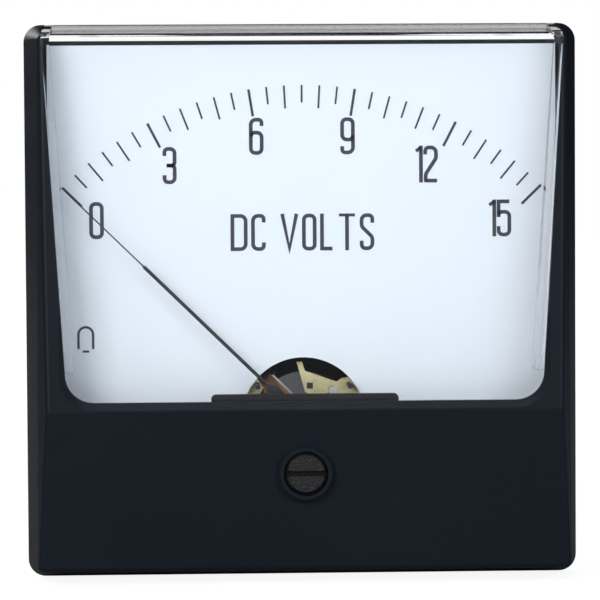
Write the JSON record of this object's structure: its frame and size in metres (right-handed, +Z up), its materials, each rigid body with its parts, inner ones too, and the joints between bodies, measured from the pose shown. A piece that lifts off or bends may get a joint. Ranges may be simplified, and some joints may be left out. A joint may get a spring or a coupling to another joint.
{
  "type": "analog panel meter",
  "caption": "Square moving-coil panel meter with a tapered black front, a clear window, a white scale, a pointer and a zero screw.",
  "frame": {"origin": "centre of the four mounting studs in the plane of the panel face, on the axis of the barrel", "axes": "+Z up, +X to the right seen from the front, +Y out of the rear face along the studs and the barrel; the front faces -Y"},
  "size_m": [0.08, 0.0673, 0.08],
  "materials": {
    "case_plastic": "satin black moulding",
    "barrel_plastic": "plain black moulding",
    "clear_cover": "clear moulded cover",
    "screw_plastic": "grained black",
    "dial_face": "white enamel",
    "dial_print": "printed",
    "steel": "bright zinc",
    "brass": "turned",
    "aged_brass": "pressed, dulled",
    "aluminium": "foil",
    "solder_grey": "dull",
    "copper_wire": "enamelled winding",
    "bronze_strip": "springy strip",
    "magnet": "ground",
    "soft_iron": "dull plated",
    "zinc": "die cast",
    "pointer_black": "painted black",
    "tinned": "tinned",
    "bobbin_board": "pressed board",
    "enamel_wire": "enamelled wire",
    "red_sleeve": "insulated wire"
  },
  "bodies": {
    "root": {"front_case": "case_plastic", "window": "clear_cover", "bridge_shield": "case_plastic", "dial_plate": "dial_face", "scale_marks": "dial_print", "dial_screws": "steel", "dial_posts": "brass", "rear_hairspring": "bronze_strip", "front_bridge": "brass", "rear_bridge": "brass", "front_jewel": "brass", "rear_jewel": "brass", "jewel_nuts": "brass", "bridge_posts": "brass", "rear_posts": "brass", "bridge_screws": "steel", "core_magnet": "magnet", "core_supports": "zinc", "yoke_ring": "soft_iron", "core_plate": "aged_brass", "pointer_stops": "pointer_black", "movement_frame": "zinc", "movement_screws": "steel", "rear_case": "barrel_plastic", "case_screws": "steel", "mounting_studs": "steel", "terminal_studs": "brass", "terminal_washers": "steel", "terminal_nuts": "brass", "terminal_lugs": "tinned", "resistor_bobbin": "bobbin_board", "resistor_winding": "enamel_wire", "resistor_screw": "steel", "lead_wires": "red_sleeve"},
    "pointer": {"pointer": "pointer_black", "pointer_root": "pointer_black", "balance_weights": "solder_grey", "front_pivot": "steel", "rear_pivot": "steel", "coil_former": "aluminium", "coil_winding": "copper_wire"},
    "zero_lever": {"zero_lever": "brass", "front_hairspring": "bronze_strip"},
    "zero_screw": {"zero_screw": "screw_plastic", "zero_clip": "steel"}
  },
  "joints": [
    {"name": "zero_turn", "type": "hinge", "parent": "root", "child": "zero_screw", "pos_m": [0, -0.0142, -0.024], "axis": [0, 1, 0], "range_deg": [-30, 30]},
    {"name": "lever_turn", "type": "hinge", "parent": "root", "child": "zero_lever", "pos_m": [0, -0.01, -0.017], "axis": [0, 1, 0], "range_deg": [-2.19, 2.19]},
    {"name": "pointer_turn", "type": "hinge", "parent": "zero_lever", "child": "pointer", "pos_m": [0, -0.0081, -0.017], "axis": [0, 1, 0], "range_deg": [-1, 92.5], "stiffness_Nm_per_rad": 0.0002}
  ],
  "couplings": [
    {"joint": "lever_turn", "follows": "zero_turn", "ratio": -0.0727}
  ]
}
